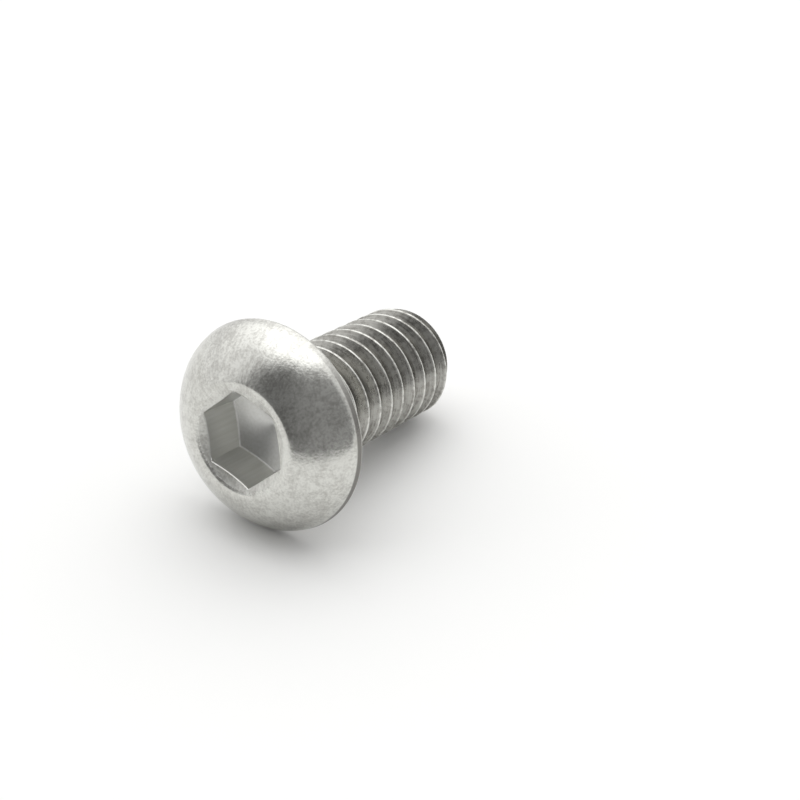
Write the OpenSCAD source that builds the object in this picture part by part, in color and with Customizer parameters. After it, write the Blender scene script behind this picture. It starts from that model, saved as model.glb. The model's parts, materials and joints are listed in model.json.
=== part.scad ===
// Button-head socket screw: a low domed head with a hexagon socket, on a shank threaded almost to the head.
// The screw is drawn along its own axis, seat at z = 0, head upwards and thread downwards. It is then
// laid down as it comes to rest, on the rim of its head and the last full crest of its thread.

/* [Head] */
// Diameter of the head at its rim
head_d = 10.4; // [9.6:0.1:11.2]
// Height of the head above its bearing seat
head_h = 2.4; // [2.1:0.05:3.2]
// Height of the straight rim under the dome
rim_h = 0.4; // [0.25:0.05:0.6]
// Radius of the dome's section
dome_r = 3.8; // [3:0.1:6]
// Diameter of the dome's inner edge, where the dish round the socket starts
top_d = 5.7; // [5.3:0.1:6.4]
// Radius that breaks the rim's edge at the seat
rim_round = 0.12; // [0.05:0.01:0.2]

/* [Socket] */
// Width of the hexagon across its flats
socket_af = 4.1; // [3:0.05:4.4]
// Depth of the hexagon's walls below the top of the head
socket_depth = 2.3; // [1.6:0.05:2.4]
// Slope of the shallow dish round the socket, in degrees
dish_slope = 17; // [8:1:22]
// Diameter at which the dish steepens into the socket's mouth, a little over the hexagon's corners
mouth_d = 4.8; // [4.75:0.05:5.2]
// Slope of the socket's mouth, in degrees
mouth_slope = 28; // [24:1:40]
// Slope of the socket's conical floor, in degrees
floor_slope = 14; // [5:1:25]
// Turn of the hexagon from a corner straight up, in degrees
socket_turn = 15; // [0:1:60]

/* [Shank] */
// Outside diameter of the thread
thread_d = 5.85; // [5.7:0.05:6.2]
// Distance from one thread crest to the next
pitch = 1; // [0.75:0.05:1.1]
// Length of the shank under the seat
shank_l = 12; // [8:0.5:20]
// Diameter of the plain neck between the seat and the thread
neck_d = 5.4; // [5.1:0.05:5.6]
// Length of the plain neck
neck_l = 1.2; // [0.8:0.05:2]
// Radius of the fillet between the neck and the seat
neck_fillet = 0.3; // [0.2:0.05:0.5]
// Length over which the thread fades into the neck
runout_l = 1.2; // [0.6:0.1:2]
// Length of the chamfer at the tip, which is as deep as it is long
tip_chamfer = 0.85; // [0.75:0.05:1]

/* [Hidden] */
$fn = 96;

head_r = head_d / 2;
top_r = top_d / 2;
mouth_r = mouth_d / 2;
thread_r = thread_d / 2;
neck_r = neck_d / 2;
tip_r = thread_r - tip_chamfer;

// Overrun of each cutter past the surface that it opens
overrun = 0.5;

// The dome is an arc from the rim to its inner edge, with its centre square to the chord
rim_top = [head_r, rim_h];
top_edge = [top_r, head_h];
chord = top_edge - rim_top;
inward = [-chord.y, chord.x] / norm(chord);
dome_centre = (rim_top + top_edge) / 2 + inward * sqrt(dome_r ^ 2 - (norm(chord) / 2) ^ 2);

// Metric thread form, as shares of the pitch: a flat crest, 60-degree flanks and a narrow root
flank_angle = 30;
crest_half = 1 / 16;
depth_share = 0.6134;
thread_depth = depth_share * pitch;
root_start = crest_half + depth_share * tan(flank_angle);
// One pitch is four rows of points: crest, root, root, crest
row_share = [crest_half, root_start, 1 - root_start, 1 - crest_half];
row_radius = [thread_r, thread_r - thread_depth, thread_r - thread_depth, thread_r];
rows_a_pitch = len(row_share);
// Columns of points round one turn, with one straight up and one straight down
columns = 36;

// The thread's solid starts inside the neck, a little under the neck's surface
buried = 0.4;
neck_step = 0.04;
thread_start = neck_l - buried;
crest_end = shank_l - tip_chamfer;
// Turns by which the rows are moved, so that a crest ends on the chamfer at the thread's underside
crest_turns = (crest_end - thread_start) / pitch - crest_half + 0.5;
row_shift = crest_turns - ceil(crest_turns) - 1;
rows = rows_a_pitch * ceil((shank_l - thread_start) / pitch + 3);

// Lying angle: the rounded rim and the last crest touch the ground together
rim_gap = head_r - rim_round - thread_r;
rest_base = crest_end + rim_round;
tilt = atan2(rim_gap, rest_base) + asin(rim_round / norm([rim_gap, rest_base]));
axis_height = (head_r - rim_round) * cos(tilt) - rim_round * sin(tilt) + rim_round;
// Ends of the lying screw along the ground, from the centre of the seat
tip_reach = shank_l * cos(tilt) + tip_r * sin(tilt);
top_slant = atan2(top_r - dome_centre.x, head_h - dome_centre.y);
head_reach = tilt > top_slant
    ? dome_centre.x * sin(tilt) + dome_centre.y * cos(tilt) + dome_r
    : top_r * sin(tilt) + head_h * cos(tilt);

// Depth below the seat of a point of the thread, before it is held between the solid's two ends
function row_depth(column, row) =
    thread_start + pitch * (floor(row / rows_a_pitch) + row_share[row % rows_a_pitch]
                            + row_shift - column / columns);

// First and last row that each column keeps: the ones that reach the solid's two ends
first_row = [for (c = [0 : columns - 1]) max([for (r = [0 : rows]) if (row_depth(c, r) <= thread_start) r])];
last_row = [for (c = [0 : columns - 1]) min([for (r = [0 : rows]) if (row_depth(c, r) >= shank_l) r])];

// Radius at a depth: the thread grows out of the neck and ends in the chamfer
function fade(depth) =
    let (x = min(max((depth - neck_l) / runout_l, 0), 1)) x * x * (3 - 2 * x);
function point_radius(depth, full_radius) =
    min(neck_r - neck_step + (full_radius - neck_r + neck_step) * fade(depth),
        thread_r - (depth - crest_end));

function thread_point(column, row) =
    let (depth = min(max(row_depth(column, row), thread_start), shank_l),
         r = point_radius(depth, row_radius[row % rows_a_pitch]),
         a = 360 * column / columns)
    [r * cos(a), r * sin(a), -depth];

// Number of a point in the list; the column after the last is the first, one pitch further on
function point_number(column, row) =
    column == columns
        ? point_number(0, row - rows_a_pitch)
        : column * (rows + 1) + min(max(row, first_row[column]), last_row[column]);

function is_triangle(t) = t[0] != t[1] && t[1] != t[2] && t[2] != t[0];

// Removes the square corner outside a round edge of radius r at the origin
module round_corner(r) {
    difference() {
        translate([-overrun, -overrun]) square(r + overrun);
        translate([r, r]) circle(r);
    }
}

// Half section of the head
module head_section() {
    difference() {
        union() {
            square([top_r, head_h]);
            intersection() {
                square([head_r, head_h]);
                translate(dome_centre) circle(dome_r);
            }
        }
        translate([head_r, 0]) mirror([1, 0]) round_corner(rim_round);
    }
}

// Half section of the plain neck, with the fillet that carries it into the seat
module neck_section() {
    translate([0, -neck_l]) square([neck_r, neck_l + rim_h]);
    difference() {
        translate([0, -neck_fillet]) square([neck_r + neck_fillet, neck_fillet + rim_h]);
        translate([neck_r + neck_fillet, -neck_fillet]) circle(neck_fillet);
    }
}

// Right-hand thread as one closed skin of helical rows, with a flat end inside the neck and one at the tip
module thread() {
    sides = [for (c = [0 : columns - 1], r = [0 : rows - 1])
        let (here = point_number(c, r),
             below = point_number(c, r + 1),
             beside = point_number(c + 1, r),
             across = point_number(c + 1, r + 1))
        each [[here, beside, across], [here, across, below]]];
    neck_end = [for (c = [columns - 1 : -1 : 0]) point_number(c, first_row[c])];
    tip_end = [for (c = [0 : columns - 1]) point_number(c, last_row[c])];
    polyhedron(
        points = [for (c = [0 : columns - 1], r = [0 : rows]) thread_point(c, r)],
        faces = [neck_end, tip_end, for (t = sides) if (is_triangle(t)) t]);
}

// Cone that opens upwards and has radius r at height z
module countersink(r, z, slope) {
    depth = r * tan(slope);
    translate([0, 0, z - depth])
        cylinder(r1 = 0, r2 = r + overrun / tan(slope), h = depth + overrun);
}

// Everything cut from the head: hexagon, conical floor, dish and mouth
module socket() {
    floor_z = head_h - socket_depth;
    floor_cone_h = socket_af / 2 * tan(floor_slope);
    dish_depth = (top_r - mouth_r) * tan(dish_slope);
    rotate(socket_turn)
        translate([0, 0, floor_z])
            cylinder(r = socket_af / sqrt(3), h = socket_depth + overrun, $fn = 6);
    translate([0, 0, floor_z - floor_cone_h])
        cylinder(r1 = 0, r2 = socket_af / 2, h = floor_cone_h);
    countersink(top_r, head_h, dish_slope);
    countersink(mouth_r, head_h - dish_depth, mouth_slope);
}

// Lays a screw drawn along z on the ground, tip towards +x, centred over the origin
module lay_down() {
    translate([(head_reach - tip_reach) / 2, 0, axis_height])
        rotate([0, tilt - 90, 0])
            children();
}

module button_head_screw() {
    color("gainsboro")
        lay_down()
            difference() {
                union() {
                    rotate_extrude() {
                        head_section();
                        neck_section();
                    }
                    thread();
                }
                socket();
            }
}

button_head_screw();
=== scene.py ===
import json
import math

import bpy
from mathutils import Matrix, Vector


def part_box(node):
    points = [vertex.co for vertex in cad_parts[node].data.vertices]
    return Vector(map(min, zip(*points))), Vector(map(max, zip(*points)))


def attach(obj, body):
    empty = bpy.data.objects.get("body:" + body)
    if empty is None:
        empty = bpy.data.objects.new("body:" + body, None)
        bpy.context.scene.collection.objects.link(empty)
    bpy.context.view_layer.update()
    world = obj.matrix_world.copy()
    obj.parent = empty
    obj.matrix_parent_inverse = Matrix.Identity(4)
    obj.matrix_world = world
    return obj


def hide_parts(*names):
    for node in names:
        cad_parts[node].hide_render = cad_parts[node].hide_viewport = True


bl_info = {
    "name": "Button-head socket screw",
    "version": (1, 0, 0),
    "blender": (4, 5, 0),
    "location": "View3D > Sidebar > Screw",
    "description": "Models a button-head socket screw lying on a white table",
    "category": "Mesh",
}

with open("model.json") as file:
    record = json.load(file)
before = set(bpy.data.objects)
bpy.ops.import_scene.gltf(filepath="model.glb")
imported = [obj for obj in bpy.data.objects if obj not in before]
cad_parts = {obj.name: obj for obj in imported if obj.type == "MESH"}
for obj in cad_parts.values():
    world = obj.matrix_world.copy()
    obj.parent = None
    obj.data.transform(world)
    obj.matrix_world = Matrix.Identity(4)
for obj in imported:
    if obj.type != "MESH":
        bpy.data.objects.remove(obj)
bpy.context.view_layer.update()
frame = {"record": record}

NODE = "button_head_screw"

# The screw is modelled in millimetres on its own axis, head up and seat at height 0, and then laid down
# in metres
MM = 0.001
TURN = 2 * math.pi

# Where the screw lies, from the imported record
MOUNTS = {mount["name"]: mount for mount in frame["record"]["mounts"]}
AXIS = Vector(MOUNTS["thread"]["axis"]).normalized()
TIP = Vector(MOUNTS["thread"]["pos_m"])
MOUTH = Vector(MOUNTS["hexagon_socket"]["pos_m"])
HEAD_HEIGHT = (Vector(MOUNTS["head_seat"]["pos_m"]) - MOUTH).dot(AXIS)
SHANK_LENGTH = (TIP - MOUTH).dot(AXIS) - HEAD_HEIGHT
SEAT = MOUTH + AXIS * HEAD_HEIGHT
LYING_TURN = -math.atan2(AXIS.x, -AXIS.z)
THREAD_DIAMETER = 2 * MOUNTS["thread"]["dims"]["r_mm"] * MM
LOW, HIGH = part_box(NODE)
HEAD_DIAMETER = HIGH.y - LOW.y


def linear(srgb_hex):
    """Linear red, green and blue of an sRGB hex colour."""
    shares = [int(srgb_hex[i:i + 2], 16) / 255 for i in (1, 3, 5)]
    return tuple(s / 12.92 if s <= 0.04045 else ((s + 0.055) / 1.055) ** 2.4 for s in shares)


def length(name, description, default):
    """A length property of the sidebar, in metres."""
    return bpy.props.FloatProperty(name=name, description=description, default=default, min=0.0,
                                   precision=5, unit="LENGTH")


def angle(name, description, degrees):
    """An angle property of the sidebar, given in degrees."""
    return bpy.props.FloatProperty(name=name, description=description, default=math.radians(degrees),
                                   precision=2, subtype="ANGLE")


def colour(name, description, srgb_hex):
    """A colour property of the sidebar, given as an sRGB hex colour."""
    return bpy.props.FloatVectorProperty(name=name, description=description, default=linear(srgb_hex),
                                         size=3, min=0.0, max=1.0, subtype="COLOR")


def strength(name, description, default):
    """A light's strength in the sidebar, where 1 is white."""
    return bpy.props.FloatProperty(name=name, description=description, default=default, min=0.0)


class HeadSizes(bpy.types.PropertyGroup):
    """Sizes of the domed head"""
    diameter: length("Diameter", "Diameter of the head at its rim", HEAD_DIAMETER)
    height: length("Height", "Height of the head above its seat", HEAD_HEIGHT)
    rim_height: length("Rim height", "Height of the straight foot of the rim", 0.15 * MM)
    rim_round: length("Rim round", "Radius that breaks the rim's edge at the seat", 0.12 * MM)
    wall_height: length("Wall height", "Height of the rim's leaning wall, over its foot", 0.38 * MM)
    wall_lean: angle("Wall lean", "Angle by which the rim's wall leans inwards", 15.5)
    wall_wear: length("Wall wear", "Half width of the worn edge between wall and dome", 0.15 * MM)
    dome_radius: length("Dome radius", "Radius of the dome's section", 4.03 * MM)
    ring_diameter: length("Ring diameter", "Diameter of the dome's inner edge, round the dish", 5.56 * MM)
    ring_wear: length("Ring wear", "Half width of the rounded ring between dome and dish", 0.2 * MM)
    edge_wear: length("Edge wear", "Half width of the other worn edges", 0.03 * MM)


class SocketSizes(bpy.types.PropertyGroup):
    """Sizes of the hexagon socket"""
    width: length("Width", "Width of the hexagon across its flats", 4.1 * MM)
    depth: length("Depth", "Depth of the walls' middles below the top", 2.25 * MM)
    draft: angle("Draft", "Angle by which the walls close in downwards", 2)
    dish_slope: angle("Dish slope", "Slope of the shallow dish round the socket", 16.5)
    mouth_diameter: length("Mouth diameter", "Diameter at which the dish becomes the mouth", 4.96 * MM)
    mouth_slope: angle("Mouth slope", "Slope of the socket's mouth", 19)
    floor_slope: angle("Floor slope", "Slope of the conical floor", 14)
    turn: angle("Turn", "Turn of the hexagon from a corner straight up", 15)
    floor_round: length("Floor round", "Bevel that rounds the corner between walls and floor", 0.06 * MM)
    lip_round: length("Lip round", "Bevel that rounds the lip where the walls meet the mouth", 0.08 * MM)


class ShankSizes(bpy.types.PropertyGroup):
    """Sizes of the neck and the thread"""
    shank_length: length("Length", "Length of the shank under the seat", SHANK_LENGTH)
    thread_diameter: length("Thread diameter", "Outside diameter of the thread", THREAD_DIAMETER)
    pitch: length("Pitch", "Distance from one thread crest to the next", 1.0 * MM)
    neck_diameter: length("Neck diameter", "Diameter of the plain neck under the seat", 5.4 * MM)
    neck_length: length("Neck length", "Length of the plain neck", 1.2 * MM)
    neck_fillet: length("Neck fillet", "Radius of the fillet between neck and seat", 0.3 * MM)
    runout_length: length("Run-out length", "Length over which the thread fades into the neck", 1.2 * MM)
    tip_chamfer: length("Tip chamfer", "Length and depth of the chamfer at the tip", 0.85 * MM)


class SteelFinish(bpy.types.PropertyGroup):
    """Colours of the steel, with painted shade and painted highlights"""
    bright: colour("Bright steel", "Colour of the clean tumbled steel", "#D6D6D1")
    dull: colour("Dull steel", "Colour of the steel in dents and scuffs", "#B7B6B1")
    # Painted shade: this dark colour goes on the rim's wall, most on one lower side, in place of a dark
    # reflection
    rim: colour("Rim", "Colour of the rim's wall where it is dullest", "#7E7C78")
    # Painted light: this colour is paler than the head's steel, to lift the shade inside the socket
    socket_painted_light: colour("Socket", "Colour of the smooth walls of the socket", "#EBEBE9")
    # Painted highlight: this near-white colour makes the rounded foot of the socket's walls shine
    corner: colour("Socket corner", "Colour of the drawn metal between walls and floor", "#FAFAF8")
    # Partly wear and partly painted highlight: this bright colour goes on the thread's crests
    crest: colour("Thread crest", "Colour of the worn bright crests of the thread", "#DEDED9")
    # Partly the rolled finish and partly painted shade: the flank colours are kept darker than the head's
    # steel
    flank: colour("Thread flank", "Colour of the thread's flanks where they are clean", "#B8B7B2")
    scored: colour("Scored flank", "Colour of the thread's flanks in scores and torn patches", "#908E89")
    # Partly rolling oil and partly painted shade: this colour darkens the thread deep in its roots
    root: colour("Thread root", "Colour of the steel deep in the thread, dull with rolling oil", "#706E69")


class StudioSettings(bpy.types.PropertyGroup):
    """Camera, table and light"""
    camera_azimuth: angle("Camera azimuth", "Direction of the camera round the screw, from +X", -145.98)
    camera_height: angle("Camera elevation", "Angle of the camera above the table", 34.283)
    camera_distance: length("Camera distance", "Distance of the camera from its aim", 75.79 * MM)
    camera_aim: bpy.props.FloatVectorProperty(
        name="Camera aim", description="Point in the middle of the picture", subtype="XYZ", unit="LENGTH",
        size=3, precision=5, default=(1.445 * MM, -3.143 * MM, 4.277 * MM))
    lens: bpy.props.FloatProperty(
        name="Lens", description="Focal length on a sensor 36 mm wide", default=69.75, unit="CAMERA")
    table_colour: colour("Table", "Colour of the white paper on the table", "#FDFDFC")
    table_front: length("Table front", "Distance from the screw to the paper's front edge", 35 * MM)
    overhead_light: strength("Overhead light", "Strength of the lamp overhead", 1.9)
    lamp_lean: angle("Lamp lean", "Angle by which the lamp overhead is moved to the back", 8)
    left_light: strength("Left light", "Strength of the white wall on the camera's left", 1.0)
    right_light: strength("Right light", "Strength of the white wall on the camera's right", 0.75)
    back_light: strength("Back light", "Strength of the white wall behind the screw", 1.5)
    dark_side: strength("Dark side", "Strength of the unlit room behind the camera", 0.24)


def add_node(tree, kind, settings=None, values=None, links=None):
    """Adds one node with its settings, the values of its sockets and the outputs that feed it."""
    node = tree.nodes.new(kind)
    for name, value in (settings or {}).items():
        setattr(node, name, value)
    for socket, value in (values or {}).items():
        node.inputs[socket].default_value = value
    for socket, output in (links or {}).items():
        tree.links.new(output, node.inputs[socket])
    return node


def pick(*objects):
    """Selects these objects only, the first of them active."""
    if bpy.context.object and bpy.context.object.mode != "OBJECT":
        bpy.ops.object.mode_set(mode="OBJECT")
    bpy.ops.object.select_all(action="DESELECT")
    for obj in objects:
        obj.select_set(True)
    bpy.context.view_layer.objects.active = objects[0]


def arc(centre, radius, start, end, steps):
    """Points of a section's arc, from one angle to another, 0 outwards and a quarter turn upwards."""
    return [(centre[0] + radius * math.cos(a), centre[1] + radius * math.sin(a))
            for a in (start + (end - start) * i / steps for i in range(steps + 1))]


def turned(name, section, columns, steel):
    """A closed body turned from a section of (radius, height) points, extruded ring by ring."""
    radius, height = section[0]
    bpy.ops.object.select_all(action="DESELECT")
    bpy.ops.mesh.primitive_circle_add(vertices=columns, radius=radius, fill_type="NGON",
                                      location=(0, 0, height))
    body = bpy.context.object
    body.name = name
    body.data.materials.append(steel)
    bpy.ops.object.transform_apply(location=True, rotation=False, scale=False)
    bpy.ops.object.mode_set(mode="EDIT")
    bpy.ops.mesh.select_mode(type="EDGE")
    bpy.ops.mesh.select_all(action="SELECT")
    for next_radius, next_height in section[1:]:
        bpy.ops.mesh.extrude_edges_move(TRANSFORM_OT_translate={"value": (0, 0, next_height - height)})
        spread = next_radius / radius
        bpy.ops.transform.resize(value=(spread, spread, 1), center_override=(0, 0, next_height))
        radius, height = next_radius, next_height
    bpy.ops.mesh.edge_face_add()
    bpy.ops.mesh.select_all(action="SELECT")
    bpy.ops.mesh.normals_make_consistent(inside=False)
    bpy.ops.object.mode_set(mode="OBJECT")
    return body


def carve(body, tool, operation):
    """Joins, cuts or trims a body with a tool by a boolean, and removes the tool."""
    step = body.modifiers.new("carve", "BOOLEAN")
    step.operation = operation
    step.solver = "EXACT"
    step.material_mode = "TRANSFER"
    step.object = tool
    pick(body)
    bpy.ops.object.modifier_apply(modifier=step.name)
    if not body.data.polygons:
        raise RuntimeError(f"the {operation.lower()} with {tool.name} left nothing of {body.name}")
    pick(tool)
    bpy.ops.object.delete()


# Steps of the curves in the turned sections
WORN_STEPS = 6
DOME_STEPS = 36
RIM_STEPS = 6
FILLET_STEPS = 8
RAMP_STEPS = 10
ROOT_STEPS = 8

# In millimetres: how far the mouth's cone goes on inside the hexagon, and how far the neck's end lies under
# the thread's root
MOUTH_REACH = 0.8
RAMP_SINK = 0.1


def worn_corner(before, corner, after, cut):
    """A section's corner worn round: a smooth curve that starts and ends a short cut from the corner."""
    start = corner + (before - corner).normalized() * cut
    end = corner + (after - corner).normalized() * cut
    return [tuple(start.lerp(corner, s).lerp(corner.lerp(end, s), s))
            for s in (i / WORN_STEPS for i in range(WORN_STEPS + 1))]


def runout_ramp(start_r, rise, shank):
    """Section points along the thread's run-out, on a smooth curve from one radius to another."""
    neck_l, runout = shank.neck_length / MM, shank.runout_length / MM
    return [(start_r + rise * (3 - 2 * s) * s * s, -neck_l - runout * s)
            for s in (i / RAMP_STEPS for i in range(RAMP_STEPS + 1))]


def head_section(head, socket, shank):
    """Section of the head and neck: up the dish, over the dome, in under the seat and down the neck."""
    height = head.height / MM
    ring_r, mouth_r = head.ring_diameter / 2 / MM, socket.mouth_diameter / 2 / MM
    head_r, rim_h, rim_round = head.diameter / 2 / MM, head.rim_height / MM, head.rim_round / MM
    wall_h, dome_r = head.wall_height / MM, head.dome_radius / MM
    ring_wear, wall_wear, edge_wear = head.ring_wear / MM, head.wall_wear / MM, head.edge_wear / MM
    neck_r, fillet = shank.neck_diameter / 2 / MM, shank.neck_fillet / MM
    # Corners of the head, from the mouth outwards. The mouth goes on inside the hexagon, which is cut later.
    # The top of the rounded ring is as high as the head, so its corner is a little higher
    ring = Vector((ring_r, height + ring_wear * math.sin(socket.dish_slope) / 2))
    mouth = ring - (ring_r - mouth_r) * Vector((1, math.tan(socket.dish_slope)))
    inner = mouth - MOUTH_REACH * Vector((1, math.tan(socket.mouth_slope)))
    rim_top, rim_foot = Vector((head_r, rim_h)), Vector((head_r, rim_round))
    wall_top = rim_top + wall_h * Vector((-math.tan(head.wall_lean), 1))
    # The dome's centre is square to the chord from the wall to the ring
    chord = ring - wall_top
    inward = Vector((-chord.y, chord.x)).normalized()
    centre = (wall_top + ring) / 2 + inward * math.sqrt(dome_r ** 2 - (chord.length / 2) ** 2)
    ring_angle = math.atan2(ring.y - centre.y, ring.x - centre.x) - ring_wear / dome_r
    wall_angle = math.atan2(wall_top.y - centre.y, wall_top.x - centre.x) + wall_wear / dome_r
    dome = arc(centre, dome_r, ring_angle, wall_angle, DOME_STEPS)
    # Under the thread's run-out the neck narrows to the thread's root, and ends inside it
    root_r = (shank.thread_diameter / 2 - THREAD_DEPTH * shank.pitch) / MM
    ramp = runout_ramp(neck_r, root_r - RAMP_SINK - neck_r, shank)
    return ([tuple(inner)]
            + worn_corner(inner, mouth, ring, edge_wear)
            + worn_corner(mouth, ring, Vector(dome[0]), ring_wear)[:-1]
            + dome
            + worn_corner(Vector(dome[-1]), wall_top, rim_top, wall_wear)[1:]
            + worn_corner(wall_top, rim_top, rim_foot, min(edge_wear, (rim_h - rim_round) / 2))
            + arc((head_r - rim_round, rim_round), rim_round, 0, -TURN / 4, RIM_STEPS)
            + [((head_r + neck_r) / 2, 0)]
            + arc((neck_r + fillet, -fillet), fillet, TURN / 4, TURN / 2, FILLET_STEPS)
            + ramp)


# Metric thread form, in shares of the pitch: a narrow crest with worn edges, flanks 60 degrees apart and a
# round root
THREAD_DEPTH = 0.6134
FLANK_ANGLE = math.radians(30)
CREST_HALF = 1 / 16
ROOT_ROUND = 0.12
CREST_BREAK = 0.05

# Columns of points round each turned body and round one turn of the thread. They differ so that no edges of
# two bodies fall on each other where the bodies are joined or cut
HEAD_COLUMNS = 190
BLANK_COLUMNS = 154
POINT_COLUMNS = 98
THREAD_STEPS = 96

# Starts of the thread's coil and of its blank, as shares of the neck's length, the coil's length beyond the
# tip and the distance at which the points of its turns are merged, both in millimetres
COIL_START = 0.6
BLANK_START = 0.3
COIL_OVER = 0.2
COIL_MERGE = 0.001


def thread_coil(shank, steel):
    """The thread before its ends are shaped: one pitch of its section, screwed round the axis."""
    pitch, thread_r = shank.pitch / MM, shank.thread_diameter / 2 / MM
    shank_l, chamfer = shank.shank_length / MM, shank.tip_chamfer / MM
    root_r = thread_r - THREAD_DEPTH * pitch
    tan_flank = math.tan(FLANK_ANGLE)
    rounding = ROOT_ROUND * pitch
    # One pitch downwards from the middle of a crest: crest, worn edge, flank, round root and back
    edge = CREST_HALF * pitch
    broken = CREST_BREAK * pitch
    half = [(thread_r, 0), (thread_r, 0.4 * edge), (thread_r - 0.25 * broken, 0.9 * edge),
            (thread_r - broken, edge + broken * tan_flank)]
    root = arc((root_r + rounding, 0.5 * pitch), -rounding,
               TURN / 4 - FLANK_ANGLE, FLANK_ANGLE - TURN / 4, ROOT_STEPS)
    section = half + root + [(r, pitch - u) for r, u in reversed(half)]
    # The crest of the underside, half a turn from the section, ends where the chamfer starts
    crest = shank_l - chamfer - CREST_HALF * pitch
    start = crest - pitch * (math.ceil(shank_l / pitch) - 0.5)
    turns = math.ceil(shank_l / pitch) + 1
    bpy.ops.object.select_all(action="DESELECT")
    bpy.ops.mesh.primitive_plane_add(size=pitch)
    coil = bpy.context.object
    coil.name = "thread_coil"
    coil.data.materials.append(steel)
    bpy.ops.object.mode_set(mode="EDIT")
    bpy.ops.mesh.select_mode(type="VERT")
    bpy.ops.mesh.select_all(action="SELECT")
    bpy.ops.mesh.merge(type="CENTER")
    bpy.ops.transform.translate(value=(section[0][0], 0, -start))
    for (r, u), (next_r, next_u) in zip(section, section[1:]):
        bpy.ops.mesh.extrude_vertices_move(TRANSFORM_OT_translate={"value": (next_r - r, 0, u - next_u)})
    bpy.ops.object.mode_set(mode="OBJECT")
    screw = coil.modifiers.new("screw", "SCREW")
    screw.axis = "Z"
    screw.angle = -TURN
    screw.screw_offset = -pitch
    screw.iterations = turns
    screw.steps = screw.render_steps = THREAD_STEPS
    bpy.ops.object.modifier_apply(modifier=screw.name)
    bpy.ops.object.mode_set(mode="EDIT")
    bpy.ops.mesh.select_all(action="SELECT")
    bpy.ops.mesh.remove_doubles(threshold=COIL_MERGE)
    # Cut square inside the neck and beyond the tip, so that the coil is a closed body
    for height, keep_below in ((-COIL_START * shank.neck_length / MM, True), (-shank_l - COIL_OVER, False)):
        bpy.ops.mesh.select_all(action="SELECT")
        bpy.ops.mesh.bisect(plane_co=(0, 0, height), plane_no=(0, 0, 1), use_fill=True,
                            clear_outer=keep_below, clear_inner=not keep_below)
    bpy.ops.mesh.select_all(action="SELECT")
    bpy.ops.mesh.normals_make_consistent(inside=False)
    bpy.ops.object.mode_set(mode="OBJECT")
    return coil


def thread_blank(shank, steel):
    """The turned bar that the thread is held to. It swells out of the neck and ends in the chamfer."""
    thread_r, neck_r = shank.thread_diameter / 2 / MM, shank.neck_diameter / 2 / MM
    shank_l, chamfer = shank.shank_length / MM, shank.tip_chamfer / MM
    # Clear of the full crests by a little, and under the neck's surface where the neck hides it
    clear, under = 0.1, 0.03
    ramp = runout_ramp(neck_r - under, thread_r + clear - neck_r, shank)
    section = ([(neck_r - under, -BLANK_START * shank.neck_length / MM)] + ramp
               + [(thread_r + clear, -shank_l + chamfer + clear), (thread_r - chamfer, -shank_l)])
    return turned("thread_blank", section, BLANK_COLUMNS, steel)


def select_edges(body, chosen):
    """Selects, in edit mode, the edges that pass a test of their ends and of how far their two faces face
    along the axis."""
    mesh = body.data
    facing = {}
    for face in mesh.polygons:
        for key in face.edge_keys:
            facing.setdefault(key, []).append(abs(face.normal.z))
    pick(body)
    bpy.ops.object.mode_set(mode="EDIT")
    bpy.ops.mesh.select_mode(type="EDGE")
    bpy.ops.mesh.select_all(action="DESELECT")
    bpy.ops.object.mode_set(mode="OBJECT")
    picked = 0
    for line in mesh.edges:
        a, b = (mesh.vertices[v].co for v in line.vertices)
        line.select = chosen(a, b, min(facing[line.key]), max(facing[line.key]))
        picked += line.select
    if not picked:
        raise RuntimeError(f"{body.name} has no such edge")
    bpy.ops.object.mode_set(mode="EDIT")


def bevel_edges(body, chosen, width, segments, slot=-1):
    """Bevels the edges that pass a test. Points along them that lie too close would hold the bevel back, so
    they are merged first. The new faces take the steel of a slot, or else their neighbours'."""
    select_edges(body, chosen)
    bpy.ops.mesh.remove_doubles(threshold=width / MM / 2)
    bpy.ops.object.mode_set(mode="OBJECT")
    select_edges(body, chosen)
    bpy.ops.mesh.bevel(offset=width / MM, segments=segments, affect="EDGES", clamp_overlap=True,
                       material=slot)
    bpy.ops.object.mode_set(mode="OBJECT")


# The socket's walls hardly face along its axis, and its mouth and floor mostly do
WALL_FACING = 0.1
FLAT_FACING = 0.5

# Rings of points on the punch's cone, as shares of its radius. None crosses the foot of the walls
POINT_RINGS = (1, 0.58, 0.3, 0.1, 0.02)
FLOOR_SEGMENTS = 3
LIP_SEGMENTS = 4


def socket_punch(socket, head, steel, highlight_steel):
    """The punch that leaves the socket: a hexagon with a little draft and a conical point."""
    corner_r, depth = socket.width / math.sqrt(3) / MM, socket.depth / MM
    slope, draft = math.tan(socket.floor_slope), math.tan(socket.draft) * 2 / math.sqrt(3)
    middle_r = socket.width / 2 / MM
    # The hexagon has its width at the top of the head, and runs past the head and past the cone's point
    over, under = 0.5, 1.0
    top = head.height / MM
    bpy.ops.object.select_all(action="DESELECT")
    bpy.ops.mesh.primitive_cone_add(
        vertices=6, radius1=corner_r - draft * (depth + under), radius2=corner_r + draft * over,
        depth=depth + under + over, location=(0, 0, top + (over - depth - under) / 2))
    punch = bpy.context.object
    punch.name = "socket_punch"
    punch.data.materials.append(steel)
    # A hexagon primitive has a corner on +Y
    punch.rotation_euler.z = socket.turn - TURN / 4
    bpy.ops.object.transform_apply(location=True, rotation=True, scale=False)
    wide = corner_r + over
    rim_z = top - depth + (wide - middle_r) * slope
    section = [(wide, top + 2 * over)] + [
        (wide * share, rim_z - wide * (1 - share) * slope) for share in POINT_RINGS]
    carve(punch, turned("punch_point", section, POINT_COLUMNS, steel), "INTERSECT")
    # The rounded foot of the walls takes the steel with the painted highlight
    punch.data.materials.append(highlight_steel)
    bevel_edges(punch, lambda a, b, low, high: low < WALL_FACING and high > FLAT_FACING
                and max(a.z, b.z) < top - depth / 2, socket.floor_round, FLOOR_SEGMENTS,
                len(punch.data.materials) - 1)
    return punch


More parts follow.
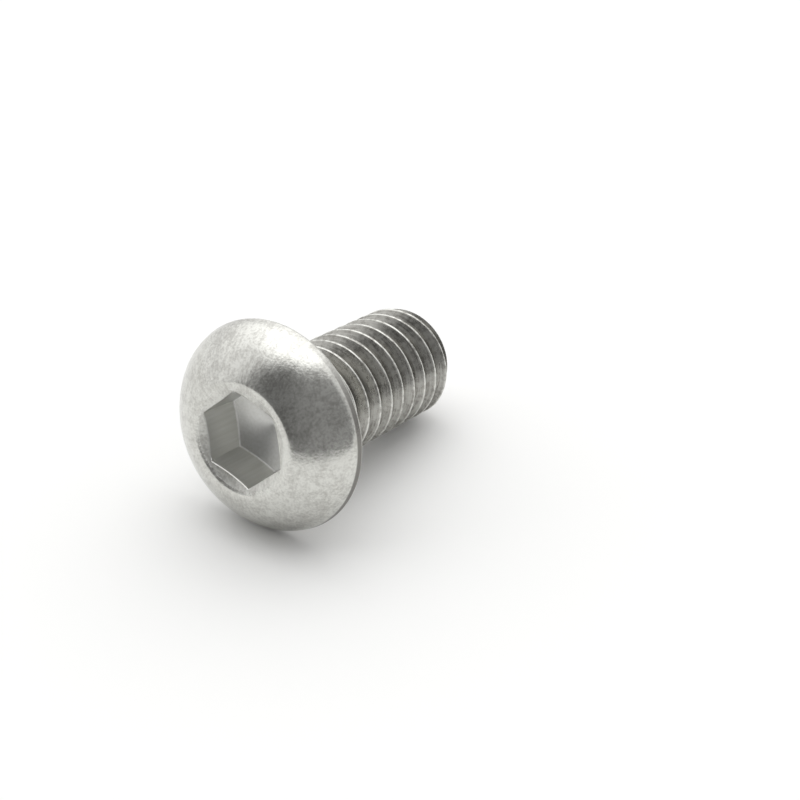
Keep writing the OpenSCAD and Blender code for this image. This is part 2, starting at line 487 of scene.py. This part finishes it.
def break_lip(screw, socket, head):
    """Rounds the lip where the hexagon's walls meet the mouth."""
    middle_z = (head.height - socket.depth / 2) / MM
    mouth_r = socket.mouth_diameter / 2 / MM

    def on_lip(a, b, low, high):
        inside = max(a.xy.length, b.xy.length) < mouth_r and min(a.z, b.z) > middle_z
        return inside and low < WALL_FACING and high > FLAT_FACING

    bevel_edges(screw, on_lip, socket.lip_round, LIP_SEGMENTS)


def own_coordinates(tree):
    """Object coordinates turned to the screw's own axis, in millimetres from the seat's centre."""
    place = add_node(tree, "ShaderNodeTexCoord")
    own = add_node(tree, "ShaderNodeMapping", {"vector_type": "TEXTURE"},
                   {"Location": SEAT, "Rotation": (0, LYING_TURN, 0), "Scale": (MM, MM, MM)},
                   {"Vector": place.outputs["Object"]})
    return own.outputs["Vector"]


# Marks on the tumbled steel, in millimetres: how far across or apart, and how deep
DENT = 0.12
SWELL = 0.4
CLOUD = 1.5
DIE_RING = 0.12
DIE_RAY = 0.2
RAY_RADIUS = 4
RING_DEPTH = 0.0015
RAY_DEPTH = 0.0012
SWELL_DEPTH = 0.006
DENT_DEPTH = 0.006
DISH_DENT_DEPTH = 0.028

# Marks in the socket and on the thread, in millimetres across or apart
PUNCH_STREAK = 0.15
CORNER_BREAK = 0.5
ROLLED_LINE = 0.09
TORN_PATCH = 0.25


def tumbled_steel(finish, head, shank):
    """Stainless steel A2, cold headed and tumbled bright. The eye sees soft reflections that many tiny
    dents break up, faint lines that the heading die drew round and up the dome, and a rim wall with
    painted shade, darkest on one lower side."""
    steel = bpy.data.materials.new("stainless_steel_tumbled_head")
    steel.use_nodes = True
    tree = steel.node_tree
    tree.nodes.clear()
    own = own_coordinates(tree)
    # Dents of the tumbling stones in wider swells, and clouds of wear
    dents = add_node(tree, "ShaderNodeTexNoise", None, {"Scale": 1 / DENT, "Detail": 2.0, "Roughness": 0.6},
                     {"Vector": own})
    swells = add_node(tree, "ShaderNodeTexNoise", None, {"Scale": 1 / SWELL, "Detail": 1.0}, {"Vector": own})
    clouds = add_node(tree, "ShaderNodeTexNoise", None, {"Scale": 1 / CLOUD, "Detail": 2.0}, {"Vector": own})
    # Rings: the noise only sees the distance from the axis and the height
    flat = add_node(tree, "ShaderNodeVectorMath", {"operation": "MULTIPLY"}, {1: (1, 1, 0)}, {0: own})
    radius = add_node(tree, "ShaderNodeVectorMath", {"operation": "LENGTH"}, None, {0: flat.outputs[0]})
    parts = add_node(tree, "ShaderNodeSeparateXYZ", None, None, {0: own})
    section = add_node(tree, "ShaderNodeCombineXYZ", None, None,
                       {"X": radius.outputs["Value"], "Y": parts.outputs["Z"]})
    rings = add_node(tree, "ShaderNodeTexNoise", None, {"Scale": 1 / DIE_RING, "Detail": 2.0},
                     {"Vector": section.outputs[0]})
    # Rays, DIE_RAY apart on RAY_RADIUS: the noise only sees the direction from the axis
    direction = add_node(tree, "ShaderNodeVectorMath", {"operation": "NORMALIZE"}, None,
                         {0: flat.outputs[0]})
    rays = add_node(tree, "ShaderNodeTexNoise", None, {"Scale": RAY_RADIUS / DIE_RAY, "Detail": 2.0},
                    {"Vector": direction.outputs[0]})
    # The dish and the mouth, inside the ring and over the seat, keep the rougher skin of the heading punch
    narrow = add_node(tree, "ShaderNodeMapRange", {"interpolation_type": "SMOOTHSTEP"},
                      {"From Min": (head.ring_diameter / 2 - 2 * head.ring_wear) / MM,
                       "From Max": (head.ring_diameter / 2 - head.ring_wear) / MM,
                       "To Min": 1.0, "To Max": 0.0},
                      {"Value": radius.outputs["Value"]})
    over_seat = add_node(tree, "ShaderNodeMapRange", None,
                         {"From Min": 0.0, "From Max": head.rim_height / MM}, {"Value": parts.outputs["Z"]})
    inside = add_node(tree, "ShaderNodeMath", {"operation": "MULTIPLY"}, None,
                      {0: narrow.outputs[0], 1: over_seat.outputs[0]})
    # The marks' depths add up, in millimetres
    drawn = add_node(tree, "ShaderNodeMath", {"operation": "MULTIPLY"}, {1: RING_DEPTH},
                     {0: rings.outputs["Fac"]})
    lined = add_node(tree, "ShaderNodeMath", {"operation": "MULTIPLY_ADD"}, {1: RAY_DEPTH},
                     {0: rays.outputs["Fac"], 2: drawn.outputs[0]})
    swollen = add_node(tree, "ShaderNodeMath", {"operation": "MULTIPLY_ADD"}, {1: SWELL_DEPTH},
                       {0: swells.outputs["Fac"], 2: lined.outputs[0]})
    dent_depth = add_node(tree, "ShaderNodeMapRange", None,
                          {"To Min": DENT_DEPTH, "To Max": DISH_DENT_DEPTH}, {"Value": inside.outputs[0]})
    relief = add_node(tree, "ShaderNodeMath", {"operation": "MULTIPLY_ADD"}, None,
                      {0: dents.outputs["Fac"], 1: dent_depth.outputs[0], 2: swollen.outputs[0]})
    bump = add_node(tree, "ShaderNodeBump", None, {"Strength": 1.0, "Distance": MM},
                    {"Height": relief.outputs[0]})
    drawn_wear = add_node(tree, "ShaderNodeMix", {"data_type": "FLOAT"}, {0: 0.4},
                          {2: swells.outputs["Fac"], 3: rays.outputs["Fac"]})
    fine_wear = add_node(tree, "ShaderNodeMix", {"data_type": "FLOAT"}, {0: 0.5},
                         {2: dents.outputs["Fac"], 3: drawn_wear.outputs[0]})
    wear = add_node(tree, "ShaderNodeMix", {"data_type": "FLOAT"}, {0: 0.2},
                    {2: fine_wear.outputs[0], 3: clouds.outputs["Fac"]})
    tone = add_node(tree, "ShaderNodeMapRange", None, {"From Min": 0.4, "From Max": 0.56},
                    {"Value": wear.outputs[0]})
    tumbled = add_node(tree, "ShaderNodeMix", {"data_type": "RGBA"},
                       {6: (*finish.dull, 1), 7: (*finish.bright, 1)}, {0: tone.outputs[0]})
    smooth = add_node(tree, "ShaderNodeMapRange", None,
                      {"From Min": 0.35, "From Max": 0.65, "To Min": 0.18, "To Max": 0.25},
                      {"Value": wear.outputs[0]})
    rough = add_node(tree, "ShaderNodeMapRange", None,
                     {"From Min": 0.35, "From Max": 0.65, "To Min": 0.28, "To Max": 0.42},
                     {"Value": wear.outputs[0]})
    roughness = add_node(tree, "ShaderNodeMix", {"data_type": "FLOAT"}, None,
                         {0: inside.outputs[0], 2: smooth.outputs[0], 3: rough.outputs[0]})
    # The painted shade goes on the rim's wall, between the worn edges of the rim's foot and of the dome
    over = add_node(tree, "ShaderNodeMapRange", {"interpolation_type": "SMOOTHSTEP"},
                    {"From Min": 0.6 * head.rim_round / MM, "From Max": 1.2 * head.rim_round / MM},
                    {"Value": parts.outputs["Z"]})
    rim = add_node(tree, "ShaderNodeMapRange", {"interpolation_type": "SMOOTHSTEP"},
                   {"From Min": (head.rim_height + head.wall_height - 1.4 * head.wall_wear) / MM,
                    "From Max": (head.rim_height + head.wall_height - 0.8 * head.wall_wear) / MM,
                    "To Min": 1.0, "To Max": 0.0}, {"Value": parts.outputs["Z"]})
    wall = add_node(tree, "ShaderNodeMath", {"operation": "MULTIPLY"}, None,
                    {0: over.outputs[0], 1: rim.outputs[0]})
    # Painted shade: the wall is darkened most on one lower side, towards -X and -Y, and little on the other
    # side
    lower = add_node(tree, "ShaderNodeVectorMath", {"operation": "DOT_PRODUCT"}, {1: (-0.64, -0.77, 0)},
                     {0: own})
    painted_shade_side = add_node(tree, "ShaderNodeMapRange", {"interpolation_type": "SMOOTHSTEP"},
                        {"From Min": -0.5 * head.diameter / 2 / MM,
                         "From Max": 0.6 * head.diameter / 2 / MM, "To Min": 0.1, "To Max": 1.0},
                        {"Value": lower.outputs["Value"]})
    painted_rim_shade = add_node(tree, "ShaderNodeMath", {"operation": "MULTIPLY"}, None,
                      {0: wall.outputs[0], 1: painted_shade_side.outputs[0]})
    colour_with_rim_shade = add_node(tree, "ShaderNodeMix", {"data_type": "RGBA"}, {7: (*finish.rim, 1)},
                           {0: painted_rim_shade.outputs[0], 6: tumbled.outputs[2]})
    # Where the neck runs out into the first groove of the thread it is as dull as the thread
    runout = add_node(tree, "ShaderNodeMapRange", {"interpolation_type": "SMOOTHSTEP"},
                      {"From Min": -(shank.neck_length + shank.runout_length / 2) / MM,
                       "From Max": -shank.neck_length / MM, "To Min": 1.0, "To Max": 0.0},
                      {"Value": parts.outputs["Z"]})
    steel_colour = add_node(tree, "ShaderNodeMix", {"data_type": "RGBA"}, {7: (*finish.scored, 1)},
                            {0: runout.outputs[0], 6: colour_with_rim_shade.outputs[2]})
    shader = add_node(tree, "ShaderNodeBsdfPrincipled", None, {"Metallic": 1.0},
                      {"Base Color": steel_colour.outputs[2], "Roughness": roughness.outputs[0],
                       "Normal": bump.outputs[0]})
    add_node(tree, "ShaderNodeOutputMaterial", None, None, {"Surface": shader.outputs[0]})
    return steel


def punched_steel(finish):
    """Stainless steel A2 as a punch leaves it, with painted light: paler than the head's steel to lift
    the shade in the socket. The eye sees even grey walls with faint streaks along the axis."""
    steel = bpy.data.materials.new("stainless_steel_punched_socket")
    steel.use_nodes = True
    tree = steel.node_tree
    tree.nodes.clear()
    own = own_coordinates(tree)
    # Streaks, twenty times as long as they are wide
    drawn = add_node(tree, "ShaderNodeVectorMath", {"operation": "MULTIPLY"}, {1: (1, 1, 0.05)}, {0: own})
    streaks = add_node(tree, "ShaderNodeTexNoise", None, {"Scale": 1 / PUNCH_STREAK, "Detail": 3.0},
                       {"Vector": drawn.outputs[0]})
    tone = add_node(tree, "ShaderNodeMapRange", None, {"From Min": 0.1, "From Max": 0.8},
                    {"Value": streaks.outputs["Fac"]})
    tint = add_node(tree, "ShaderNodeMix", {"data_type": "RGBA"},
                    {6: (*finish.bright, 1), 7: (*finish.socket_painted_light, 1)}, {0: tone.outputs[0]})
    roughness = add_node(tree, "ShaderNodeMapRange", None,
                         {"From Min": 0.3, "From Max": 0.7, "To Min": 0.32, "To Max": 0.4},
                         {"Value": streaks.outputs["Fac"]})
    bump = add_node(tree, "ShaderNodeBump", None, {"Strength": 0.5, "Distance": 0.0006 * MM},
                    {"Height": streaks.outputs["Fac"]})
    shader = add_node(tree, "ShaderNodeBsdfPrincipled", None, {"Metallic": 1.0},
                      {"Base Color": tint.outputs[2], "Roughness": roughness.outputs[0],
                       "Normal": bump.outputs[0]})
    add_node(tree, "ShaderNodeOutputMaterial", None, None, {"Surface": shader.outputs[0]})
    return steel


def corner_highlight_steel(finish):
    """Stainless steel A2 at the foot of the socket's walls, with a painted highlight. The eye sees a pale
    line, painted near white, that breaks up here and there."""
    steel = bpy.data.materials.new("stainless_steel_painted_corner_highlight")
    steel.use_nodes = True
    tree = steel.node_tree
    tree.nodes.clear()
    breaks = add_node(tree, "ShaderNodeTexNoise", None, {"Scale": 1 / CORNER_BREAK, "Detail": 2.0},
                      {"Vector": own_coordinates(tree)})
    tone = add_node(tree, "ShaderNodeMapRange", None, {"From Min": 0.25, "From Max": 0.5},
                    {"Value": breaks.outputs["Fac"]})
    tint = add_node(tree, "ShaderNodeMix", {"data_type": "RGBA"},
                    {6: (*finish.bright, 1), 7: (*finish.corner, 1)}, {0: tone.outputs[0]})
    roughness = add_node(tree, "ShaderNodeMapRange", None,
                         {"From Min": 0.3, "From Max": 0.7, "To Min": 0.45, "To Max": 0.6},
                         {"Value": breaks.outputs["Fac"]})
    shader = add_node(tree, "ShaderNodeBsdfPrincipled", None, {"Metallic": 1.0},
                      {"Base Color": tint.outputs[2], "Roughness": roughness.outputs[0]})
    add_node(tree, "ShaderNodeOutputMaterial", None, None, {"Surface": shader.outputs[0]})
    return steel


def rolled_steel(finish, shank):
    """Stainless steel A2 as thread dies roll it. The eye sees crests made bright partly by wear and partly
    by a painted highlight, and grey flanks with fine lines along the thread that grow dark towards the
    root, partly from rolling oil and partly by painted shade."""
    steel = bpy.data.materials.new("stainless_steel_rolled_thread")
    steel.use_nodes = True
    tree = steel.node_tree
    tree.nodes.clear()
    own = own_coordinates(tree)
    # Lines, coarser than the real ones so that they show: the noise only sees the distance from the axis
    # and the height
    flat = add_node(tree, "ShaderNodeVectorMath", {"operation": "MULTIPLY"}, {1: (1, 1, 0)}, {0: own})
    radius = add_node(tree, "ShaderNodeVectorMath", {"operation": "LENGTH"}, None, {0: flat.outputs[0]})
    parts = add_node(tree, "ShaderNodeSeparateXYZ", None, None, {0: own})
    section = add_node(tree, "ShaderNodeCombineXYZ", None, None,
                       {"X": radius.outputs["Value"], "Y": parts.outputs["Z"]})
    lines = add_node(tree, "ShaderNodeTexNoise", None, {"Scale": 1 / ROLLED_LINE, "Detail": 2.0},
                     {"Vector": section.outputs[0]})
    # Small torn patches that the dies leave on flanks and crests
    patches = add_node(tree, "ShaderNodeTexNoise", None, {"Scale": 1 / TORN_PATCH, "Detail": 4.0},
                       {"Vector": own})
    wear = add_node(tree, "ShaderNodeMix", {"data_type": "FLOAT"}, {0: 0.5},
                    {2: lines.outputs["Fac"], 3: patches.outputs["Fac"]})
    tone = add_node(tree, "ShaderNodeMapRange", None, {"From Min": 0.38, "From Max": 0.58},
                    {"Value": wear.outputs[0]})
    flank = add_node(tree, "ShaderNodeMix", {"data_type": "RGBA"},
                     {6: (*finish.scored, 1), 7: (*finish.flank, 1)}, {0: tone.outputs[0]})
    roughness = add_node(tree, "ShaderNodeMapRange", None,
                         {"From Min": 0.3, "From Max": 0.7, "To Min": 0.2, "To Max": 0.36},
                         {"Value": wear.outputs[0]})
    bump = add_node(tree, "ShaderNodeBump", None, {"Strength": 1.0, "Distance": 0.006 * MM},
                    {"Height": wear.outputs[0]})
    # Rolling oil and painted shade darken the roots but not the tip's end, and the crests alone are made
    # bright, partly by wear and partly as a painted highlight
    thread_r, pitch = shank.thread_diameter / 2 / MM, shank.pitch / MM
    above_root = add_node(tree, "ShaderNodeMapRange", {"interpolation_type": "SMOOTHSTEP"},
                     {"From Min": thread_r - 0.6 * pitch, "From Max": thread_r - 0.28 * pitch},
                     {"Value": radius.outputs["Value"]})
    tip = add_node(tree, "ShaderNodeMapRange", {"interpolation_type": "SMOOTHSTEP"},
                   {"From Min": (0.05 * MM - shank.shank_length) / MM,
                    "From Max": (shank.tip_chamfer / 2 - shank.shank_length) / MM,
                    "To Min": 1.0, "To Max": 0.0},
                   {"Value": parts.outputs["Z"]})
    clean = add_node(tree, "ShaderNodeMath", {"operation": "MAXIMUM"}, None,
                     {0: above_root.outputs[0], 1: tip.outputs[0]})
    root_oil_and_shade = add_node(tree, "ShaderNodeMix", {"data_type": "RGBA"}, {6: (*finish.root, 1)},
                       {0: clean.outputs[0], 7: flank.outputs[2]})
    crest = add_node(tree, "ShaderNodeMapRange", {"interpolation_type": "SMOOTHSTEP"},
                     {"From Min": thread_r - 0.05 * pitch, "From Max": thread_r - 0.01 * pitch},
                     {"Value": radius.outputs["Value"]})
    crest_wear_and_highlight = add_node(tree, "ShaderNodeMath", {"operation": "MULTIPLY"}, None,
                      {0: crest.outputs[0], 1: tone.outputs[0]})
    steel_colour = add_node(tree, "ShaderNodeMix", {"data_type": "RGBA"}, {7: (*finish.crest, 1)},
                            {0: crest_wear_and_highlight.outputs[0], 6: root_oil_and_shade.outputs[2]})
    shader = add_node(tree, "ShaderNodeBsdfPrincipled", None, {"Metallic": 1.0},
                      {"Base Color": steel_colour.outputs[2], "Roughness": roughness.outputs[0],
                       "Normal": bump.outputs[0]})
    add_node(tree, "ShaderNodeOutputMaterial", None, None, {"Surface": shader.outputs[0]})
    return steel


# Faces that meet at a greater angle than this keep a sharp edge
SHARP_ANGLE = math.radians(32)


class OBJECT_OT_button_head_screw(bpy.types.Operator):
    """Models the screw in place of its plain solid"""
    bl_idname = "object.button_head_screw"
    bl_label = "Button-Head Screw"

    def execute(self, context):
        scene = context.scene
        head, socket, shank = scene.head_sizes, scene.socket_sizes, scene.shank_sizes
        finish = scene.steel_finish
        section = head_section(head, socket, shank)
        screw = turned("socket_screw", section, HEAD_COLUMNS, tumbled_steel(finish, head, shank))
        carve(screw, socket_punch(socket, head, punched_steel(finish), corner_highlight_steel(finish)), "DIFFERENCE")
        break_lip(screw, socket, head)
        rolled = rolled_steel(finish, shank)
        thread = thread_coil(shank, rolled)
        carve(thread, thread_blank(shank, rolled), "INTERSECT")
        carve(screw, thread, "UNION")
        pick(screw)
        bpy.ops.object.shade_smooth_by_angle(angle=SHARP_ANGLE)
        # Wide faces keep their flat look beside the narrow rounded edges
        even = screw.modifiers.new("even_normals", "WEIGHTED_NORMAL")
        even.keep_sharp = True
        bpy.ops.object.modifier_apply(modifier=even.name)
        screw.matrix_world = (Matrix.Translation(SEAT) @ Matrix.Rotation(LYING_TURN, 4, "Y")
                              @ Matrix.Scale(MM, 4))
        bpy.ops.object.transform_apply(location=True, rotation=True, scale=True)
        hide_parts(NODE)
        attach(screw, "root")
        return {"FINISHED"}


# Where each light of the room starts and where it has its full strength: the wall behind the screw by its
# angle round from the camera and up from the table, and the lamp by its angle up
BACK_START = math.radians(75)
BACK_FULL = math.radians(145)
UPPER_START = math.radians(5)
UPPER_FULL = math.radians(45)
LAMP_START = math.radians(45)
LAMP_FULL = math.radians(72)
# Half the width and the height of the room's unlit side, and how square its outline is
DARK_WIDTH = math.radians(69)
DARK_HEIGHT = math.radians(70)
DARK_SQUARENESS = 4.0
# Sides of the table's square sheet, in metres
TABLE_SIZE = 2.0


class SCENE_OT_screw_studio(bpy.types.Operator):
    """Sets the camera, the white table and the soft light"""
    bl_idname = "scene.screw_studio"
    bl_label = "Screw Studio"

    def execute(self, context):
        scene = context.scene
        studio = scene.studio_settings
        scene.view_settings.view_transform = "Standard"
        self.add_table(studio)
        self.add_light(scene, studio)
        self.add_camera(scene, studio)
        return {"FINISHED"}

    def add_table(self, studio):
        """A wide sheet of white paper, level with the lowest point of the screw."""
        middle = (studio.table_front - TABLE_SIZE / 2) * Vector((math.cos(studio.camera_azimuth),
                                                                 math.sin(studio.camera_azimuth), 0))
        bpy.ops.object.select_all(action="DESELECT")
        bpy.ops.mesh.primitive_plane_add(size=TABLE_SIZE, location=middle,
                                         rotation=(0, 0, studio.camera_azimuth))
        table = bpy.context.object
        table.name = "table"
        paper = bpy.data.materials.new("white_matt_paper")
        paper.use_nodes = True
        tree = paper.node_tree
        tree.nodes.clear()
        shader = add_node(tree, "ShaderNodeBsdfDiffuse", None, {"Color": (*studio.table_colour, 1)})
        add_node(tree, "ShaderNodeOutputMaterial", None, None, {"Surface": shader.outputs[0]})
        table.data.materials.append(paper)

    def add_light(self, scene, studio):
        """A white room with its lamp overhead, unlit on the camera's side."""
        world = bpy.data.worlds.new("soft_studio")
        scene.world = world
        world.use_nodes = True
        tree = world.node_tree
        tree.nodes.clear()
        look = add_node(tree, "ShaderNodeTexCoord")
        # Angles round from the camera and up from the table
        facing = add_node(tree, "ShaderNodeMapping", {"vector_type": "TEXTURE"},
                          {"Rotation": (0, 0, studio.camera_azimuth)},
                          {"Vector": look.outputs["Generated"]})
        parts = add_node(tree, "ShaderNodeSeparateXYZ", None, None, {0: facing.outputs[0]})
        azimuth = add_node(tree, "ShaderNodeMath", {"operation": "ARCTAN2"}, None,
                           {0: parts.outputs["Y"], 1: parts.outputs["X"]})
        around = add_node(tree, "ShaderNodeMath", {"operation": "ABSOLUTE"}, None, {0: azimuth.outputs[0]})
        elevation = add_node(tree, "ShaderNodeMath", {"operation": "ARCSINE"}, None,
                             {0: parts.outputs["Z"]})
        # White walls, brighter on the camera's left and most behind the screw, upwards
        sides = add_node(tree, "ShaderNodeMapRange", {"interpolation_type": "SMOOTHSTEP"},
                         {"From Min": -1.0, "From Max": 1.0, "To Min": studio.left_light,
                          "To Max": studio.right_light}, {"Value": parts.outputs["Y"]})
        behind = add_node(tree, "ShaderNodeMapRange", {"interpolation_type": "SMOOTHSTEP"},
                          {"From Min": BACK_START, "From Max": BACK_FULL},
                          {"Value": around.outputs[0]})
        upper = add_node(tree, "ShaderNodeMapRange", {"interpolation_type": "SMOOTHSTEP"},
                         {"From Min": UPPER_START, "From Max": UPPER_FULL},
                         {"Value": elevation.outputs[0]})
        back = add_node(tree, "ShaderNodeMath", {"operation": "MULTIPLY"}, None,
                        {0: behind.outputs[0], 1: upper.outputs[0]})
        walls = add_node(tree, "ShaderNodeMix", {"data_type": "FLOAT"}, {3: studio.back_light},
                         {0: back.outputs[0], 2: sides.outputs[0]})
        # The lamp hangs a little to the back
        leaning = add_node(tree, "ShaderNodeMapping", {"vector_type": "TEXTURE"},
                           {"Rotation": (0, -studio.lamp_lean, 0)}, {"Vector": facing.outputs[0]})
        lamp_parts = add_node(tree, "ShaderNodeSeparateXYZ", None, None, {0: leaning.outputs[0]})
        lamp_height = add_node(tree, "ShaderNodeMath", {"operation": "ARCSINE"}, None,
                               {0: lamp_parts.outputs["Z"]})
        lamp = add_node(tree, "ShaderNodeMapRange", {"interpolation_type": "SMOOTHSTEP"},
                        {"From Min": LAMP_START, "From Max": LAMP_FULL},
                        {"Value": lamp_height.outputs[0]})
        room = add_node(tree, "ShaderNodeMix", {"data_type": "FLOAT"}, {3: studio.overhead_light},
                        {0: lamp.outputs[0], 2: walls.outputs[0]})
        # The unlit side is a tall rounded field before the screw, darkest on the camera's left
        across = add_node(tree, "ShaderNodeMapRange", {"clamp": False},
                          {"From Min": 0.0, "From Max": DARK_WIDTH}, {"Value": azimuth.outputs[0]})
        across_even = add_node(tree, "ShaderNodeMath", {"operation": "POWER"}, {1: DARK_SQUARENESS},
                               {0: across.outputs[0]})
        up = add_node(tree, "ShaderNodeMath", {"operation": "MAXIMUM"}, {1: 0.0}, {0: elevation.outputs[0]})
        up_share = add_node(tree, "ShaderNodeMath", {"operation": "DIVIDE"}, {1: DARK_HEIGHT},
                            {0: up.outputs[0]})
        up_even = add_node(tree, "ShaderNodeMath", {"operation": "POWER"}, {1: DARK_SQUARENESS},
                           {0: up_share.outputs[0]})
        reach = add_node(tree, "ShaderNodeMath", {"operation": "ADD"}, None,
                         {0: across_even.outputs[0], 1: up_even.outputs[0]})
        shade = add_node(tree, "ShaderNodeMapRange", {"interpolation_type": "SMOOTHSTEP"},
                         {"From Min": 0.5, "From Max": 1.6, "To Min": 1.0, "To Max": 0.0},
                         {"Value": reach.outputs[0]})
        unlit = add_node(tree, "ShaderNodeMapRange", {"interpolation_type": "SMOOTHSTEP"},
                         {"From Min": math.radians(-45), "From Max": math.radians(15),
                          "To Min": 0.7 * studio.dark_side, "To Max": 1.3 * studio.dark_side},
                         {"Value": azimuth.outputs[0]})
        seen = add_node(tree, "ShaderNodeMix", {"data_type": "FLOAT"}, None,
                        {0: shade.outputs[0], 2: room.outputs[0], 3: unlit.outputs[0]})
        # The camera sees the room as plain white past the table's edge
        path = add_node(tree, "ShaderNodeLightPath")
        power = add_node(tree, "ShaderNodeMix", {"data_type": "FLOAT"}, {3: 1.0},
                         {0: path.outputs["Is Camera Ray"], 2: seen.outputs[0]})
        light = add_node(tree, "ShaderNodeBackground", None, {"Color": (1, 1, 1, 1)},
                         {"Strength": power.outputs[0]})
        add_node(tree, "ShaderNodeOutputWorld", None, None, {"Surface": light.outputs[0]})

    def add_camera(self, scene, studio):
        """A long lens at a low angle, aimed past the screw."""
        away = Vector((math.cos(studio.camera_azimuth) * math.cos(studio.camera_height),
                       math.sin(studio.camera_azimuth) * math.cos(studio.camera_height),
                       math.sin(studio.camera_height)))
        bpy.ops.object.camera_add(location=Vector(studio.camera_aim) + away * studio.camera_distance,
                                  rotation=away.to_track_quat("Z", "Y").to_euler())
        camera = bpy.context.object
        camera.data.lens = studio.lens
        camera.data.sensor_width = 36.0
        camera.data.clip_start = 0.001
        camera.data.clip_end = 20.0
        scene.camera = camera


class VIEW3D_PT_button_head_screw(bpy.types.Panel):
    """Sizes, colours and steps of the screw"""
    bl_label = "Button-Head Screw"
    bl_idname = "VIEW3D_PT_button_head_screw"
    bl_space_type = "VIEW_3D"
    bl_region_type = "UI"
    bl_category = "Screw"

    def draw(self, context):
        for title, group, step in PANEL_ROWS:
            box = self.layout.box()
            box.label(text=title)
            values = getattr(context.scene, group)
            for name in values.__annotations__:
                box.prop(values, name)
            if step:
                box.operator(step)


PANEL_ROWS = (
    ("Head", "head_sizes", None),
    ("Socket", "socket_sizes", None),
    ("Shank", "shank_sizes", None),
    ("Steel", "steel_finish", "object.button_head_screw"),
    ("Studio", "studio_settings", "scene.screw_studio"),
)
GROUPS = {
    "head_sizes": HeadSizes,
    "socket_sizes": SocketSizes,
    "shank_sizes": ShankSizes,
    "steel_finish": SteelFinish,
    "studio_settings": StudioSettings,
}
CLASSES = (
    *GROUPS.values(),
    OBJECT_OT_button_head_screw,
    SCENE_OT_screw_studio,
    VIEW3D_PT_button_head_screw,
)


def register():
    for cls in CLASSES:
        bpy.utils.register_class(cls)
    for name, group in GROUPS.items():
        setattr(bpy.types.Scene, name, bpy.props.PointerProperty(type=group))


def unregister():
    for name in GROUPS:
        delattr(bpy.types.Scene, name)
    for cls in reversed(CLASSES):
        bpy.utils.unregister_class(cls)


def main():
    register()
    bpy.ops.object.button_head_screw()
    bpy.ops.scene.screw_studio()


if __name__ == "__main__":
    main()
